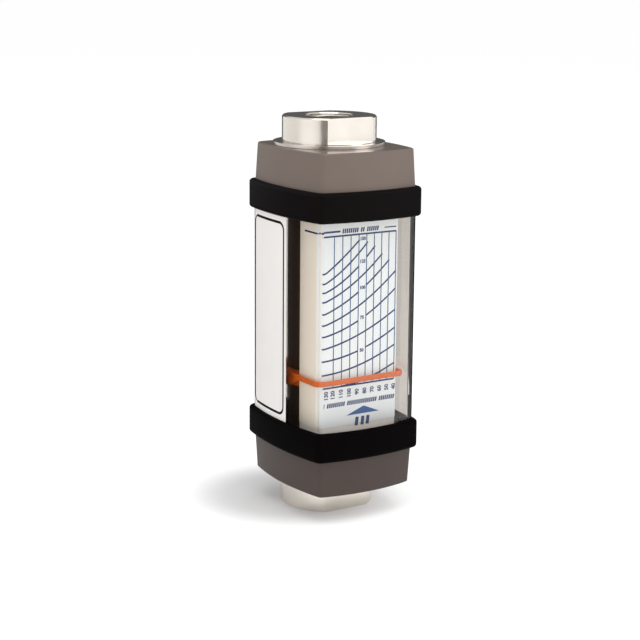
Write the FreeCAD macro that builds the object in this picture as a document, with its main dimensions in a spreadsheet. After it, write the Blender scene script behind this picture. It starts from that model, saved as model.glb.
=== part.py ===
import FreeCAD, Part
import os
import re
import Sketcher

# In-line variable-area flow meter. The casing axis is Z, the inlet face lies at Z = 0 and the
# chart faces -Y. All sizes are millimetres. Every size has one cell in the sheet named sizes.
SIZES = {
    # Pressure casing, one turned piece with a threaded port at each end
    "casing_length": 168.0,
    "tube_diameter": 33.0,
    "tube_bore": 17.4,
    "port_step": 3.4,
    "port_reach": 12.25,
    "port_land": 4.35,
    "spider_seat_step": 0.4,
    "spider_seat_depth": 6.1,
    "thread_step": 1.2,
    "thread_depth": 15.5,
    "mouth_chamfer": 0.45,
    "rim_chamfer": 0.5,
    "flat_width": 33.0,
    "flat_length": 10.5,
    "fit_gap": 0.05,
    # External retaining rings that hold the housing on the casing
    "ring_reach": 3.7,
    "ring_thickness": 1.3,
    "ring_groove_depth": 1.0,
    "ring_gap": 7.0,
    "plier_hole": 2.0,
    "plier_margin": 2.4,
    "ring_play": 0.1,
    # Cap O-rings, pressed flat to the groove depth
    "oring_section": 1.7,
    "oring_height": 8.5,
    "running_clearance": 0.2,
    # Housing: room round the indicator, and a rectangular outline with bowed sides
    "side_play": 0.06,
    "front_play": 2.31,
    "back_play": 0.68,
    "side_bow": 3.0,
    "band_corner": 3.6,
    "window_corner": 2.2,
    "cap_corner": 2.3,
    "inner_corner": 1.5,
    # End caps
    "cap_inset": 2.1,
    "cap_rise": 0.7,
    "cap_face_height": 15.65,
    "cap_skirt": 5.0,
    "cap_floor": 4.0,
    "cap_edge": 0.4,
    "boss_wall": 2.6,
    "boss_height": 13.0,
    "spigot_length": 4.0,
    "spigot_wall": 1.5,
    "spigot_clearance": 0.25,
    "socket_spacing": 22.0,
    "socket_height": 12.5,
    "socket_wall": 2.1,
    "wall_overlap": 1.0,
    # Rubber seal bands over the joints between the caps and the window
    "band_height": 12.45,
    "band_round": 1.5,
    "band_clearance": 0.05,
    # Clear window
    "window_inset": 1.82,
    "window_wall": 2.0,
    "window_end_gap": 0.25,
    # Label on the left face of the window
    "label_front": 9.3,
    "label_margin": 0.08,
    "label_thickness": 0.15,
    "film_clearance": 0.02,
    # Folded scale bracket and the printed film round it
    "bracket_tuck": 1.0,
    "bracket_play": 3.1,
    "flange_play": 0.94,
    "bracket_sheet": 1.0,
    "bend_radius": 1.6,
    "bracket_lift": 2.75,
    "tab_width": 7.0,
    "tab_length": 7.5,
    "slot_clearance": 0.15,
    "film_thickness": 0.15,
    # Indicator: follower ring, two arms and the line in front of the chart
    "indicator_rest": 59.85,
    "indicator_line": 2.3,
    "indicator_sheet": 1.0,
    "indicator_gap": 0.9,
    "indicator_lead": 1.7,
    "indicator_corner": 3.0,
    "indicator_travel": 60.0,
    "follower_height": 6.1,
    "follower_clearance": 0.35,
    "follower_wall": 3.35,
    "follower_magnet_wall": 1.7,
    "follower_magnet_height": 3.6,
    "arm_root": 4.5,
    "arm_slope": 8.0,
    # Piston with its orifice and magnet
    "piston_clearance": 0.08,
    "orifice_step": 0.6,
    "orifice_plate": 3.0,
    "orifice_lip": 0.8,
    "orifice_bevel": 0.8,
    "stem_wall": 0.7,
    "stem_length": 15.0,
    "magnet_height": 12.0,
    "magnet_wall": 1.8,
    "magnet_play": 0.17,
    "clip_thickness": 1.0,
    "clip_groove_depth": 0.3,
    "clip_gap": 3.0,
    "clip_width": 1.8,
    # Metering cone on its spider
    "cone_foot": 6.0,
    "seat_overlap": 1.1,
    "seat_thickness": 3.0,
    "seat_taper": 3.2,
    "seat_gap": 0.3,
    "cone_base_gap": 0.3,
    "cone_tip": 4.4,
    "cone_overrun": 8.0,
    "cone_end_round": 1.4,
    "screw_diameter": 3.0,
    "screw_head": 6.0,
    "screw_head_height": 2.4,
    "screw_grip": 8.0,
    "screw_clearance": 0.05,
    "socket_key": 2.5,
    # Spiders and the internal clips that hold them
    "spider_thickness": 3.0,
    "spider_rim": 2.3,
    "spider_hub": 7.0,
    "spoke_width": 2.0,
    "clip_land": 0.1,
    "bore_groove_depth": 0.7,
    # Return spring
    "spring_seat": 1.1,
    "spring_wire": 0.8,
    "spring_turns": 14.0,
}

# Sizes that follow from the sheet, as formulas of its names and of each other.
DERIVED = {
    "tube_radius": "tube_diameter / 2",
    "port_radius": "tube_radius + port_step",
    "port_length": "oring_centre + oring_groove + port_land",
    "seat_bore_radius": "tube_bore / 2 + spider_seat_step",
    "thread_radius": "seat_bore_radius + thread_step",
    "ring_radius": "port_radius + ring_reach",
    "window_skin": "window_inset + window_wall",
    "housing_width": "2 * (loop_half_width + side_play + window_skin)",
    "housing_front": "loop_front + front_play + window_skin",
    "housing_back": "follower_radius + back_play + window_skin",
    "housing_depth": "housing_front + housing_back",
    "housing_offset": "(housing_front - housing_back) / 2",
    "cap_outline": "cap_inset + cap_rise",
    "skirt_outline": "cap_inset - cap_rise * cap_skirt / cap_face_height",
    "cap_height": "cap_face_height + cap_skirt",
    "band_start": "port_reach + cap_face_height",
    "window_start": "port_reach + cap_height + window_end_gap",
    "window_height": "casing_length - 2 * window_start",
    "window_clear_start": "band_start + band_height",
    "window_clear_height": "casing_length - 2 * window_clear_start",
    "band_inner": "window_inset - band_clearance",
    "spigot_outline": "window_skin + spigot_clearance",
    "hollow_outline": "spigot_outline + spigot_wall",
    "bore_radius": "port_radius + running_clearance",
    "boss_radius": "bore_radius + boss_wall",
    "ring_start": "port_reach - ring_play - ring_thickness",
    "ring_inner": "port_radius - ring_groove_depth + fit_gap",
    "oring_centre": "port_reach + oring_height",
    "oring_groove": "oring_section / 2 + fit_gap",
    "label_width": "label_front + housing_back - window_inset - window_corner - label_margin",
    "bracket_half_width": "follower_radius - bracket_tuck",
    "bracket_front": "follower_radius + bracket_play + bracket_sheet",
    "flange_reach": "bracket_half_width - bracket_sheet - flange_play",
    "flange_back": "sqrt(follower_radius * follower_radius - flange_reach * flange_reach)",
    "bracket_start": "port_reach + socket_height + bracket_lift",
    "bracket_length": "casing_length - 2 * bracket_start",
    "film_front": "bracket_front + film_clearance + film_thickness",
    "film_half_width": "bracket_half_width + film_clearance + film_thickness",
    "loop_half_width": "film_half_width + indicator_gap + indicator_sheet",
    "loop_front": "film_front + indicator_lead + indicator_sheet",
    "follower_top": "indicator_rest + indicator_line / 2",
    "follower_start": "follower_top - follower_height",
    "follower_bore": "tube_radius + follower_clearance",
    "follower_radius": "follower_bore + follower_wall",
    "follower_magnet_middle": "follower_bore + follower_wall / 2",
    "magnet_centre": "follower_start + fit_gap + follower_magnet_height / 2",
    "piston_start": "magnet_centre - magnet_height / 2 - orifice_plate",
    "piston_radius": "tube_bore / 2 - piston_clearance",
    "magnet_radius": "piston_radius - magnet_play",
    "magnet_bore": "magnet_radius - magnet_wall",
    "stem_radius": "magnet_bore - fit_gap",
    "stem_bore": "stem_radius - stem_wall",
    "orifice_radius": "stem_bore - orifice_step",
    "magnet_top": "piston_start + orifice_plate + magnet_height",
    "clip_seat": "stem_radius - clip_groove_depth",
    "clip_start": "magnet_top + fit_gap",
    "clip_top": "clip_start + clip_thickness",
    "spider_start": "thread_depth + spider_seat_depth - spider_thickness",
    "spider_radius": "seat_bore_radius - fit_gap",
    "bore_clip_start": "spider_start - clip_land - clip_thickness",
    "bore_clip_radius": "seat_bore_radius + bore_groove_depth - fit_gap",
    "cone_start": "spider_start + spider_thickness",
    "seat_top": "piston_start - seat_gap",
    "seat_radius": "orifice_radius + seat_overlap",
    "cone_base_radius": "orifice_radius - cone_base_gap",
    "cone_length": "indicator_travel + cone_overrun",
    "spring_radius": "clip_seat + spring_seat",
    "spring_top": "casing_length - spider_start - spider_thickness",
}

WORD = re.compile(r"[a-z][a-z_]*")


def sized(formula):
    """The formula with each derived name written out and each sheet name as its cell."""

    def cell(match):
        name = match.group(0)
        if name in DERIVED:
            return "(" + sized(DERIVED[name]) + ")"
        return "sizes." + name if name in SIZES else name

    return WORD.sub(cell, formula)


def number(holder, formula):
    """The formula's value now, in millimetres."""
    value = holder.evalExpression(sized(formula))
    return float(getattr(value, "Value", value))


def mirrored(formula):
    """The same height counted from the outlet face."""
    return f"casing_length - ({formula})"


def add_sheet(doc):
    """The sheet of driving sizes, one named cell for each."""
    sheet = doc.addObject("Spreadsheet::Sheet", "sizes")
    for row, (name, value) in enumerate(SIZES.items(), start=1):
        sheet.set(f"A{row}", name)
        sheet.set(f"B{row}", str(value))
        sheet.setAlias(f"B{row}", name)
    doc.recompute()


def add_body(doc, label, height="0", flipped=False):
    """An empty body whose origin lies on the axis at the given height."""
    body = doc.addObject("PartDesign::Body", label)
    body.Label = label
    if flipped:
        body.Placement = FreeCAD.Placement(FreeCAD.Vector(), FreeCAD.Rotation(FreeCAD.Vector(0, 1, 0), 180))
    body.setExpression("Placement.Base.z", sized(height))
    doc.recompute()
    return body


def add_sketch(body, plane="XY_Plane", offset="0"):
    """A sketch on one of the body's own planes, moved along the plane's normal."""
    sketch = body.newObject("Sketcher::SketchObject", body.Label + "_sketch")
    support = [item for item in body.Origin.OriginFeatures if item.Role == plane][0]
    sketch.AttachmentSupport = [(support, "")]
    sketch.MapMode = "FlatFace"
    sketch.setExpression("AttachmentOffset.Base.z", sized(offset))
    body.Document.recompute()
    return sketch


def lock_point(sketch, edge, end, across, along):
    """Tie an edge's end point to two formulas counted from the sketch origin."""
    for kind, axis, formula in (("DistanceX", -2, across), ("DistanceY", -1, along)):
        if formula == "0":
            sketch.addConstraint(Sketcher.Constraint("PointOnObject", edge, end, axis))
            continue
        value = number(sketch, formula)
        place = sketch.addConstraint(Sketcher.Constraint(kind, -1, 1, edge, end, value))
        sketch.setExpression(f"Constraints[{place}]", sized(formula))


def draw_polygon(sketch, corners):
    """A closed outline of straight lines through corners given as formula pairs."""
    points = [FreeCAD.Vector(number(sketch, x), number(sketch, y), 0) for x, y in corners]
    first = sketch.GeometryCount
    count = len(points)
    for index in range(count):
        sketch.addGeometry(Part.LineSegment(points[index], points[(index + 1) % count]))
    for index in range(count):
        following = first + (index + 1) % count
        sketch.addConstraint(Sketcher.Constraint("Coincident", first + index, 2, following, 1))
        lock_point(sketch, first + index, 1, *corners[index])


def draw_rectangle(sketch, low_x, high_x, low_y, high_y):
    """An upright rectangle between four formulas."""
    draw_polygon(sketch, [(low_x, low_y), (high_x, low_y), (high_x, high_y), (low_x, high_y)])


def draw_circle(sketch, radius, across="0", along="0"):
    """A circle with its radius and centre tied to formulas."""
    centre = FreeCAD.Vector(number(sketch, across), number(sketch, along), 0)
    circle = Part.Circle(centre, FreeCAD.Vector(0, 0, 1), number(sketch, radius))
    edge = sketch.addGeometry(circle)
    place = sketch.addConstraint(Sketcher.Constraint("Radius", edge, number(sketch, radius)))
    sketch.setExpression(f"Constraints[{place}]", sized(radius))
    lock_point(sketch, edge, 3, across, along)


def draw_housing_outline(sketch, inset, corner):
    """The housing's plan: four bowed sides joined by tangent corner arcs."""
    half_width = f"(housing_width / 2 - ({inset}))"
    half_depth = f"(housing_depth / 2 - ({inset}))"
    bulges = [(0, -1), (1, 0), (0, 1), (-1, 0)]
    centres = []
    radii = []
    for across, along in bulges:
        half_chord, distance = (half_depth, half_width) if across else (half_width, half_depth)
        radius = f"({half_chord} * {half_chord} / (2 * side_bow) + side_bow / 2)"
        reach = f"({distance} + side_bow - {radius})"
        centres.append((f"{across} * {reach}" if across else "0", f"{along} * {reach} - housing_offset"))
        radii.append(radius)
    spots = [FreeCAD.Vector(number(sketch, x), number(sketch, y), 0) for x, y in centres]
    spans = [number(sketch, radius) for radius in radii]
    small = number(sketch, corner)
    turns = []
    joints = []
    for side in range(4):
        following = (side + 1) % 4
        turn = crossing(spots[side], spans[side] - small, spots[following], spans[following] - small)
        turns.append(turn)
        for index in (side, following):
            joints.append(spots[index] + (turn - spots[index]).normalize() * spans[index])
    for side in range(4):
        middle = spots[side] + FreeCAD.Vector(*bulges[side], 0) * spans[side]
        start, end = joints[2 * side], joints[2 * side + 1]
        outward = ((start + end) * 0.5 - turns[side]).normalize()
        sketch.addGeometry(Part.Arc(joints[2 * side - 1], middle, start))
        sketch.addGeometry(Part.Arc(start, turns[side] + outward * small, end))
    for side in range(4):
        for edge in (2 * side, 2 * side + 1):
            sketch.addConstraint(Sketcher.Constraint("Tangent", edge, 2, (edge + 1) % 8, 1))
        lock_point(sketch, 2 * side, 3, *centres[side])
        for edge, radius in ((2 * side, radii[side]), (2 * side + 1, corner)):
            place = sketch.addConstraint(Sketcher.Constraint("Radius", edge, number(sketch, radius)))
            sketch.setExpression(f"Constraints[{place}]", sized(radius))


def crossing(first, first_reach, second, second_reach):
    """The crossing of two circles that lies nearer to the axis."""
    gap = second - first
    along = (first_reach ** 2 - second_reach ** 2 + gap.Length ** 2) / (2 * gap.Length)
    aside = (first_reach ** 2 - along ** 2) ** 0.5
    direction = FreeCAD.Vector(gap).normalize()
    normal = FreeCAD.Vector(-direction.y, direction.x, 0)
    points = [first + direction * along + normal * sign * aside for sign in (-1, 1)]
    return min(points, key=lambda point: point.Length)


def add_pad(body, sketch, length):
    """Material along the sketch's normal."""
    pad = body.newObject("PartDesign::Pad", body.Label + "_pad")
    pad.Profile = sketch
    pad.setExpression("Length", sized(length))
    body.Document.recompute()
    return pad


def add_pocket(body, sketch, depth):
    """A cut along the sketch's normal, which has to take material away."""
    before = body.Shape.Volume
    pocket = body.newObject("PartDesign::Pocket", body.Label + "_pocket")
    pocket.Profile = sketch
    pocket.Reversed = True
    pocket.setExpression("Length", sized(depth))
    body.Document.recompute()
    if body.Shape.Volume >= before:
        raise RuntimeError(f"{body.Label}: a pocket cuts nothing")
    return pocket


def add_revolution(body, corners):
    """A full turn about the axis of a half section given as radius and height formulas."""
    sketch = add_sketch(body, "XZ_Plane")
    draw_polygon(sketch, corners)
    turned = body.newObject("PartDesign::Revolution", body.Label + "_turned")
    turned.Profile = sketch
    turned.ReferenceAxis = (sketch, ["V_Axis"])
    turned.Angle = 360
    body.Document.recompute()
    return turned


def add_fillet(body, base, radius, wanted):
    """Round the edges of the base for which wanted(edge) is true."""
    names = [f"Edge{index}" for index, edge in enumerate(base.Shape.Edges, start=1) if wanted(edge)]
    fillet = body.newObject("PartDesign::Fillet", body.Label + "_fillet")
    fillet.Base = (base, names)
    fillet.setExpression("Radius", sized(radius))
    body.Document.recompute()
    return fillet


def is_upright(edge):
    """True for a straight edge that runs nearly along the axis."""
    if len(edge.Vertexes) < 2:
        return False
    span = edge.Vertexes[1].Point - edge.Vertexes[0].Point
    return span.Length > 1.0 and abs(span.z) > 0.95 * span.Length and abs(edge.Length - span.Length) < 0.01


def upright_corners(half_width, low_y, high_y, slack=1.2):
    """A test for upright edges near the corners of an upright box."""

    def wanted(edge):
        if not is_upright(edge):
            return False
        middle = edge.CenterOfMass
        near_side = abs(abs(middle.x) - half_width) < slack
        return near_side and min(abs(middle.y - low_y), abs(middle.y - high_y)) < slack

    return wanted


def edges_at_height(height):
    """A test for edges that lie in one level plane."""

    def wanted(edge):
        box = edge.BoundBox
        return abs(box.ZMin - height) < 0.01 and abs(box.ZMax - height) < 0.01

    return wanted


def add_annulus(body, inner, outer, thickness, offset="0"):
    """A flat ring about the axis."""
    sketch = add_sketch(body, offset=offset)
    draw_circle(sketch, outer)
    draw_circle(sketch, inner)
    return add_pad(body, sketch, thickness)


def make_casing(doc):
    """The turned casing: two ports with flats, grooves for rings and seals, and the measuring bore."""
    body = add_body(doc, "pressure_casing")
    groove_floor = "port_radius - ring_groove_depth"
    groove_end = "ring_start + ring_thickness + fit_gap"
    oring_floor = "port_radius - oring_section + running_clearance"
    outer = [
        ("thread_radius + mouth_chamfer", "0"),
        ("port_radius - rim_chamfer", "0"),
        ("port_radius", "rim_chamfer"),
        ("port_radius", "ring_start - fit_gap"),
        (groove_floor, "ring_start - fit_gap"),
        (groove_floor, groove_end),
        ("port_radius", groove_end),
        ("port_radius", "oring_centre - oring_groove"),
        (oring_floor, "oring_centre - oring_groove"),
        (oring_floor, "oring_centre + oring_groove"),
        ("port_radius", "oring_centre + oring_groove"),
        ("port_radius", "port_length - rim_chamfer"),
        ("port_radius - rim_chamfer", "port_length"),
        ("tube_radius", "port_length"),
    ]
    inner = [
        ("tube_bore / 2", "thread_depth + spider_seat_depth"),
        ("seat_bore_radius", "thread_depth + spider_seat_depth"),
        ("seat_bore_radius", "bore_clip_start + clip_thickness + fit_gap"),
        ("bore_clip_radius + fit_gap", "bore_clip_start + clip_thickness + fit_gap"),
        ("bore_clip_radius + fit_gap", "bore_clip_start - fit_gap"),
        ("seat_bore_radius", "bore_clip_start - fit_gap"),
        ("seat_bore_radius", "thread_depth"),
        ("thread_radius", "thread_depth"),
        ("thread_radius", "mouth_chamfer"),
    ]
    outlet_outer = [(radius, mirrored(height)) for radius, height in reversed(outer)]
    outlet_inner = [(radius, mirrored(height)) for radius, height in reversed(inner)]
    add_revolution(body, outer + outlet_outer + outlet_inner + inner)
    for start in ("0", "casing_length - flat_length"):
        sketch = add_sketch(body, offset=start)
        draw_rectangle(sketch, "-ring_radius", "ring_radius", "flat_width / 2", "ring_radius")
        draw_rectangle(sketch, "-ring_radius", "ring_radius", "-ring_radius", "-flat_width / 2")
        add_pocket(body, sketch, "flat_length")


def make_split_ring(doc, label, inner, outer, thickness, gap, start, plier_hole=None):
    """A flat spring ring with its gap at the back, and holes for pliers where it has them."""
    body = add_body(doc, label, start)
    add_annulus(body, inner, outer, thickness)
    sketch = add_sketch(body)
    draw_rectangle(sketch, f"-{gap} / 2", f"{gap} / 2", "0", f"2 * ({outer})")
    if plier_hole:
        middle = f"(({inner}) + ({outer})) / 2"
        for side in ("-", ""):
            draw_circle(sketch, f"{plier_hole} / 2", f"{side}({gap} / 2 + plier_margin)", middle)
    add_pocket(body, sketch, thickness)


def make_retaining_rings(doc):
    """The two external rings that keep the housing between the ports."""
    upper = mirrored("ring_start + ring_thickness")
    for label, start in (("lower_retaining_ring", "ring_start"), ("upper_retaining_ring", upper)):
        make_split_ring(doc, label, "ring_inner", "ring_radius", "ring_thickness",
                        "ring_gap", start, "plier_hole")


def make_orings(doc):
    """The seals in the casing's grooves, which the caps turn on."""
    for label, height in (("lower_cap_oring", "oring_centre"), ("upper_cap_oring", mirrored("oring_centre"))):
        ring = doc.addObject("Part::Torus", label)
        ring.Label = label
        ring.setExpression("Radius1", sized("bore_radius - oring_section / 2 - fit_gap"))
        ring.setExpression("Radius2", sized("oring_section / 2 - fit_gap"))
        ring.setExpression("Placement.Base.z", sized(height))


def make_end_cap(doc, label, start, flipped):
    """A moulded cap: drafted shell, spigot for the window, bearing boss and bracket sockets."""
    body = add_body(doc, label, start, flipped)
    sections = []
    for height, inset in (("0", "cap_outline + cap_edge"), ("cap_edge", "cap_outline"),
                          ("cap_height", "skirt_outline")):
        section = add_sketch(body, offset=height)
        draw_housing_outline(section, inset, "cap_corner")
        sections.append(section)
    shell = body.newObject("PartDesign::AdditiveLoft", label + "_shell")
    shell.Profile = sections[0]
    shell.Sections = sections[1:]
    shell.Ruled = True
    doc.recompute()
    spigot = add_sketch(body, offset="cap_height")
    draw_housing_outline(spigot, "spigot_outline", "inner_corner")
    add_pad(body, spigot, "spigot_length")
    hollow = add_sketch(body, offset="cap_floor")
    draw_housing_outline(hollow, "hollow_outline", "inner_corner")
    add_pocket(body, hollow, "cap_height + spigot_length - cap_floor")
    boss = add_sketch(body, offset="cap_floor")
    draw_circle(boss, "boss_radius")
    add_pad(body, boss, "boss_height - cap_floor")
    add_bracket_sockets(body)
    bore = add_sketch(body)
    draw_circle(bore, "bore_radius")
    add_pocket(body, bore, "cap_height")


def add_bracket_sockets(body):
    """Two posts on the cap's floor with slots that take the bracket's tabs."""
    posts = add_sketch(body, offset="cap_floor")
    slots = add_sketch(body, offset="bracket_start - tab_length - port_reach - slot_clearance")
    for side in ("-", ""):
        centre = f"{side}socket_spacing / 2"
        low_y = "hollow_outline - housing_front - wall_overlap"
        high_y = "-bracket_front + bracket_sheet + socket_wall"
        draw_rectangle(posts, f"{centre} - tab_width / 2 - socket_wall",
                       f"{centre} + tab_width / 2 + socket_wall", low_y, high_y)
        draw_rectangle(slots, f"{centre} - tab_width / 2 - slot_clearance",
                       f"{centre} + tab_width / 2 + slot_clearance",
                       "-bracket_front - slot_clearance", "-bracket_front + bracket_sheet + slot_clearance")
    add_pad(body, posts, "socket_height - cap_floor")
    add_pocket(body, slots, "socket_height")


def make_end_caps(doc):
    """The same moulding at both ends, the upper one turned over."""
    make_end_cap(doc, "lower_end_cap", "port_reach", False)
    make_end_cap(doc, "upper_end_cap", mirrored("port_reach"), True)


def make_seal_band(doc, label, start):
    """A rubber band with rounded edges round the joint of a cap and the window."""
    body = add_body(doc, label, start)
    outline = add_sketch(body)
    draw_housing_outline(outline, "0", "band_corner")
    block = add_pad(body, outline, "band_height")
    bottom = edges_at_height(0.0)
    top = edges_at_height(number(body, "band_height"))
    add_fillet(body, block, "band_round", lambda edge: bottom(edge) or top(edge))
    opening = add_sketch(body)
    draw_housing_outline(opening, "band_inner", "window_corner + band_clearance")
    add_pocket(body, opening, "band_height")


def make_seal_bands(doc):
    """The two bands, between the caps and the clear part of the window."""
    for label, start in (("lower_seal_band", "band_start"), ("upper_seal_band", mirrored("window_clear_start"))):
        make_seal_band(doc, label, start)


def make_window(doc):
    """The clear tube between the caps."""
    body = add_body(doc, "window", "window_start")
    outline = add_sketch(body)
    draw_housing_outline(outline, "window_inset", "window_corner")
    add_pad(body, outline, "window_height")
    opening = add_sketch(body)
    draw_housing_outline(opening, "window_skin", "inner_corner")
    add_pocket(body, opening, "window_height")


def make_side_label(doc):
    """A thin label that follows the bow of the window's left face between the bands."""
    half_depth = "(housing_depth / 2 - window_inset)"
    side_radius = f"({half_depth} * {half_depth} / (2 * side_bow) + side_bow / 2)"
    shells = []
    for name, extra in (("label_outside", "film_clearance + label_thickness"), ("label_inside", "film_clearance")):
        shell = doc.addObject("Part::Cylinder", name)
        shell.setExpression("Radius", sized(f"{side_radius} + {extra}"))
        shell.setExpression("Height", sized("window_clear_height"))
        middle = f"{side_radius} - (housing_width / 2 - window_inset + side_bow)"
        shell.setExpression("Placement.Base.x", sized(middle))
        shell.setExpression("Placement.Base.y", sized("-housing_offset"))
        shell.setExpression("Placement.Base.z", sized("window_clear_start"))
        shells.append(shell)
    skin = doc.addObject("Part::Cut", "label_skin")
    skin.Base, skin.Tool = shells
    patch = doc.addObject("Part::Box", "label_patch")
    patch.setExpression("Length", sized("housing_width / 2"))
    patch.setExpression("Width", sized("label_width"))
    patch.setExpression("Height", sized("window_clear_height"))
    patch.setExpression("Placement.Base.x", sized("-housing_width / 2 - side_bow"))
    patch.setExpression("Placement.Base.y", sized("-label_front"))
    patch.setExpression("Placement.Base.z", sized("window_clear_start"))
    label = doc.addObject("Part::Common", "side_label")
    label.Label = "side_label"
    label.Base = skin
    label.Tool = patch
    doc.recompute()


def add_channel(body, half_width, front, back, sheet, bend, height):
    """A folded strip in plan: a front panel with a flange turned back at each side."""
    sketch = add_sketch(body)
    draw_polygon(sketch, [
        (f"-({half_width})", back),
        (f"-({half_width})", f"-({front})"),
        (half_width, f"-({front})"),
        (half_width, back),
        (f"{half_width} - {sheet}", back),
        (f"{half_width} - {sheet}", f"-({front}) + {sheet}"),
        (f"-({half_width}) + {sheet}", f"-({front}) + {sheet}"),
        (f"-({half_width}) + {sheet}", back),
    ])
    strip = add_pad(body, sketch, height)
    for inset, radius in (("0", bend), (sheet, f"{bend} - {sheet}")):
        side = number(body, f"{half_width} - ({inset})")
        level = number(body, f"-({front}) + ({inset})")
        strip = add_fillet(body, strip, radius, upright_corners(side, level, level, 0.05))
    return strip


def make_bracket(doc):
    """The folded sheet that carries the chart, with two tabs at each end."""
    body = add_body(doc, "scale_bracket", "bracket_start")
    add_channel(body, "bracket_half_width", "bracket_front", "-flange_back",
                "bracket_sheet", "bend_radius", "bracket_length")
    tabs = add_sketch(body, offset="-tab_length")
    for side in ("-", ""):
        centre = f"{side}socket_spacing / 2"
        draw_rectangle(tabs, f"{centre} - tab_width / 2", f"{centre} + tab_width / 2",
                       "-bracket_front", "-bracket_front + bracket_sheet")
    add_pad(body, tabs, "bracket_length + 2 * tab_length")


def make_flow_scale(doc):
    """The printed film laid round the outside of the bracket."""
    body = add_body(doc, "flow_scale", "window_clear_start")
    add_channel(body, "film_half_width", "film_front", "-flange_back", "film_thickness",
                "bend_radius + film_clearance + film_thickness", "window_clear_height")


def make_indicator(doc):
    """One moulding: a ring that rides on the casing, two tapering arms and the reading line."""
    body = add_body(doc, "indicator", "follower_start")
    line_start = "follower_height - indicator_line"
    add_annulus(body, "follower_bore", "follower_radius", "follower_height")
    root = add_sketch(body, "YZ_Plane", "follower_bore + follower_wall / 2")
    draw_rectangle(root, "-arm_root", "arm_root", "0", "follower_height")
    root_pad = add_pad(body, root, "loop_half_width - follower_bore - follower_wall / 2")
    arm = add_sketch(body, "YZ_Plane", "loop_half_width - indicator_sheet")
    draw_polygon(arm, [
        ("-arm_root / 2", "0"),
        ("-arm_root / 2", "follower_height"),
        ("-arm_root - arm_slope", "follower_height"),
        ("-arm_root - arm_slope", line_start),
        ("-arm_root", "0"),
    ])
    arm_pad = add_pad(body, arm, "indicator_sheet")
    mirror = body.newObject("PartDesign::Mirrored", "indicator_mirror")
    mirror.Originals = [root_pad, arm_pad]
    mirror.MirrorPlane = ([item for item in body.Origin.OriginFeatures if item.Role == "YZ_Plane"][0], [""])
    body.Tip = mirror
    doc.recompute()
    add_indicator_loop(body, line_start)
    add_magnet_groove(body)


def add_indicator_loop(body, line_start):
    """The thin strip that runs from the ring round the front of the chart."""
    sketch = add_sketch(body, offset=line_start)
    half_width = "loop_half_width"
    inner_width = "loop_half_width - indicator_sheet"
    draw_polygon(sketch, [
        ("-loop_half_width", "0"),
        ("-loop_half_width", "-loop_front"),
        (half_width, "-loop_front"),
        (half_width, "0"),
        (inner_width, "0"),
        (inner_width, "-loop_front + indicator_sheet"),
        ("-loop_half_width + indicator_sheet", "-loop_front + indicator_sheet"),
        ("-loop_half_width + indicator_sheet", "0"),
    ])
    strip = add_pad(body, sketch, "indicator_line")
    for inset, radius in (("0", "indicator_corner"), ("indicator_sheet", "indicator_corner - indicator_sheet")):
        side = number(body, f"loop_half_width - ({inset})")
        level = number(body, f"-loop_front + ({inset})")
        strip = add_fillet(body, strip, radius, upright_corners(side, level, level, 0.05))


def add_magnet_groove(body):
    """The round groove under the ring that takes the follower magnet."""
    groove = add_sketch(body)
    draw_circle(groove, "follower_magnet_middle + follower_magnet_wall / 2 + fit_gap")
    draw_circle(groove, "follower_magnet_middle - follower_magnet_wall / 2 - fit_gap")
    add_pocket(body, groove, "follower_magnet_height + 2 * fit_gap")


def make_follower_magnet(doc):
    """The ring magnet in the indicator's groove."""
    body = add_body(doc, "follower_magnet", "follower_start + fit_gap")
    add_annulus(body, "follower_magnet_middle - follower_magnet_wall / 2",
                "follower_magnet_middle + follower_magnet_wall / 2", "follower_magnet_height")


def make_piston(doc):
    """The orifice plate with the stem that carries the magnet and its clip."""
    body = add_body(doc, "orifice_piston", "piston_start")
    groove_start = "orifice_plate + magnet_height + fit_gap / 2"
    groove_end = "orifice_plate + magnet_height + clip_thickness + 2 * fit_gap"
    add_revolution(body, [
        ("orifice_radius", "0"),
        ("piston_radius", "0"),
        ("piston_radius", "orifice_plate"),
        ("stem_radius", "orifice_plate"),
        ("stem_radius", groove_start),
        ("clip_seat", groove_start),
        ("clip_seat", groove_end),
        ("stem_radius", groove_end),
        ("stem_radius", "orifice_plate + stem_length"),
        ("stem_bore", "orifice_plate + stem_length"),
        ("stem_bore", "orifice_lip + orifice_bevel"),
        ("orifice_radius", "orifice_lip"),
    ])


def make_transfer_magnet(doc):
    """The ring magnet on the piston's stem."""
    body = add_body(doc, "transfer_magnet", "piston_start + orifice_plate")
    add_annulus(body, "magnet_bore", "magnet_radius", "magnet_height")
    make_split_ring(doc, "magnet_clip", "clip_seat + fit_gap", "clip_seat + clip_width",
                    "clip_thickness", "clip_gap", "clip_start")


def make_metering_cone(doc):
    """The fixed cone that the orifice rises along, with the seat for the resting piston."""
    body = add_body(doc, "metering_cone", "cone_start")
    seat_top = "(seat_top - cone_start)"
    cone_end = f"({seat_top} + cone_length)"
    add_revolution(body, [
        ("0", "0"),
        ("cone_foot / 2", "0"),
        ("cone_foot / 2", f"{seat_top} - seat_thickness - seat_taper"),
        ("seat_radius", f"{seat_top} - seat_thickness"),
        ("seat_radius", seat_top),
        ("cone_base_radius", seat_top),
        ("cone_tip / 2", f"{cone_end} - cone_end_round"),
        ("cone_tip / 2 - cone_end_round", cone_end),
        ("0", cone_end),
    ])
    hole = add_sketch(body)
    draw_circle(hole, "screw_diameter / 2 + screw_clearance")
    add_pocket(body, hole, "screw_grip + screw_diameter / 2")


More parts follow.
